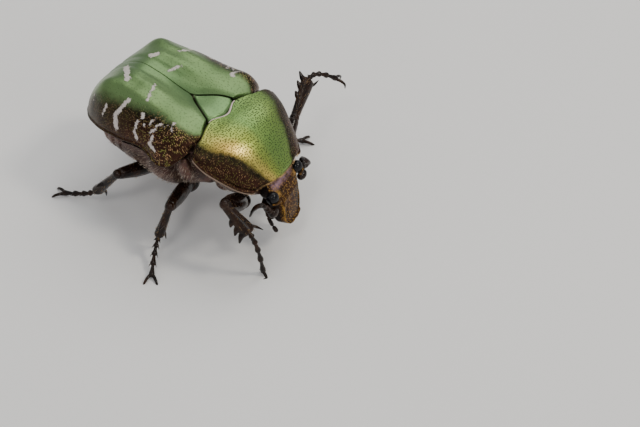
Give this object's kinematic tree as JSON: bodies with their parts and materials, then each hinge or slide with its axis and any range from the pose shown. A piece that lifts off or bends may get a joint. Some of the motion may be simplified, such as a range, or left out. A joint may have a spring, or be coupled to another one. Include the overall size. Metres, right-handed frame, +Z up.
{
  "type": "rose chafer",
  "caption": "Still, life-size rose chafer beetle with a metallic green domed shell, standing on its feet with one foreleg raised and its head bent down.",
  "frame": {"origin": "centre of the beetle's outline on the floor that its feet stand on, at the bottom of its bounding box", "axes": "+Z up, +X to the beetle's left, +Y to the beetle's rear. The head looks along -Y"},
  "size_m": [0.0196, 0.0164, 0.0093],
  "materials": {
    "shell_green": "satin metallic green chitin with fine dark punctures, shading to dark bronze on the flanks",
    "shell_bronze": "dark coppery bronze chitin with fine punctures and short pale hairs",
    "limb_black": "glossy black-brown chitin",
    "eye_black": "very glossy black"
  },
  "bodies": {
    "root": {"abdomen": "shell_bronze", "antenna_left": "limb_black", "antenna_right": "limb_black", "elytron_left": "shell_green", "elytron_right": "shell_green", "eye_left": "eye_black", "eye_right": "eye_black", "foreleg_left_femur": "limb_black", "foreleg_left_tarsus": "limb_black", "foreleg_left_tibia": "limb_black", "foreleg_right_femur": "limb_black", "foreleg_right_tarsus": "limb_black", "foreleg_right_tibia": "limb_black", "head": "shell_bronze", "hind_thorax": "shell_bronze", "hindleg_left_femur": "limb_black", "hindleg_left_tarsus": "limb_black", "hindleg_left_tibia": "limb_black", "hindleg_right_femur": "limb_black", "hindleg_right_tarsus": "limb_black", "hindleg_right_tibia": "limb_black", "mesepimeron_left": "shell_bronze", "mesepimeron_right": "shell_bronze", "midleg_left_femur": "limb_black", "midleg_left_tarsus": "limb_black", "midleg_left_tibia": "limb_black", "midleg_right_femur": "limb_black", "midleg_right_tarsus": "limb_black", "midleg_right_tibia": "limb_black", "mouthparts": "limb_black", "pronotum": "shell_green", "prothorax": "shell_bronze", "pygidium": "shell_bronze", "scutellum": "shell_green"}
  },
  "joints": []
}
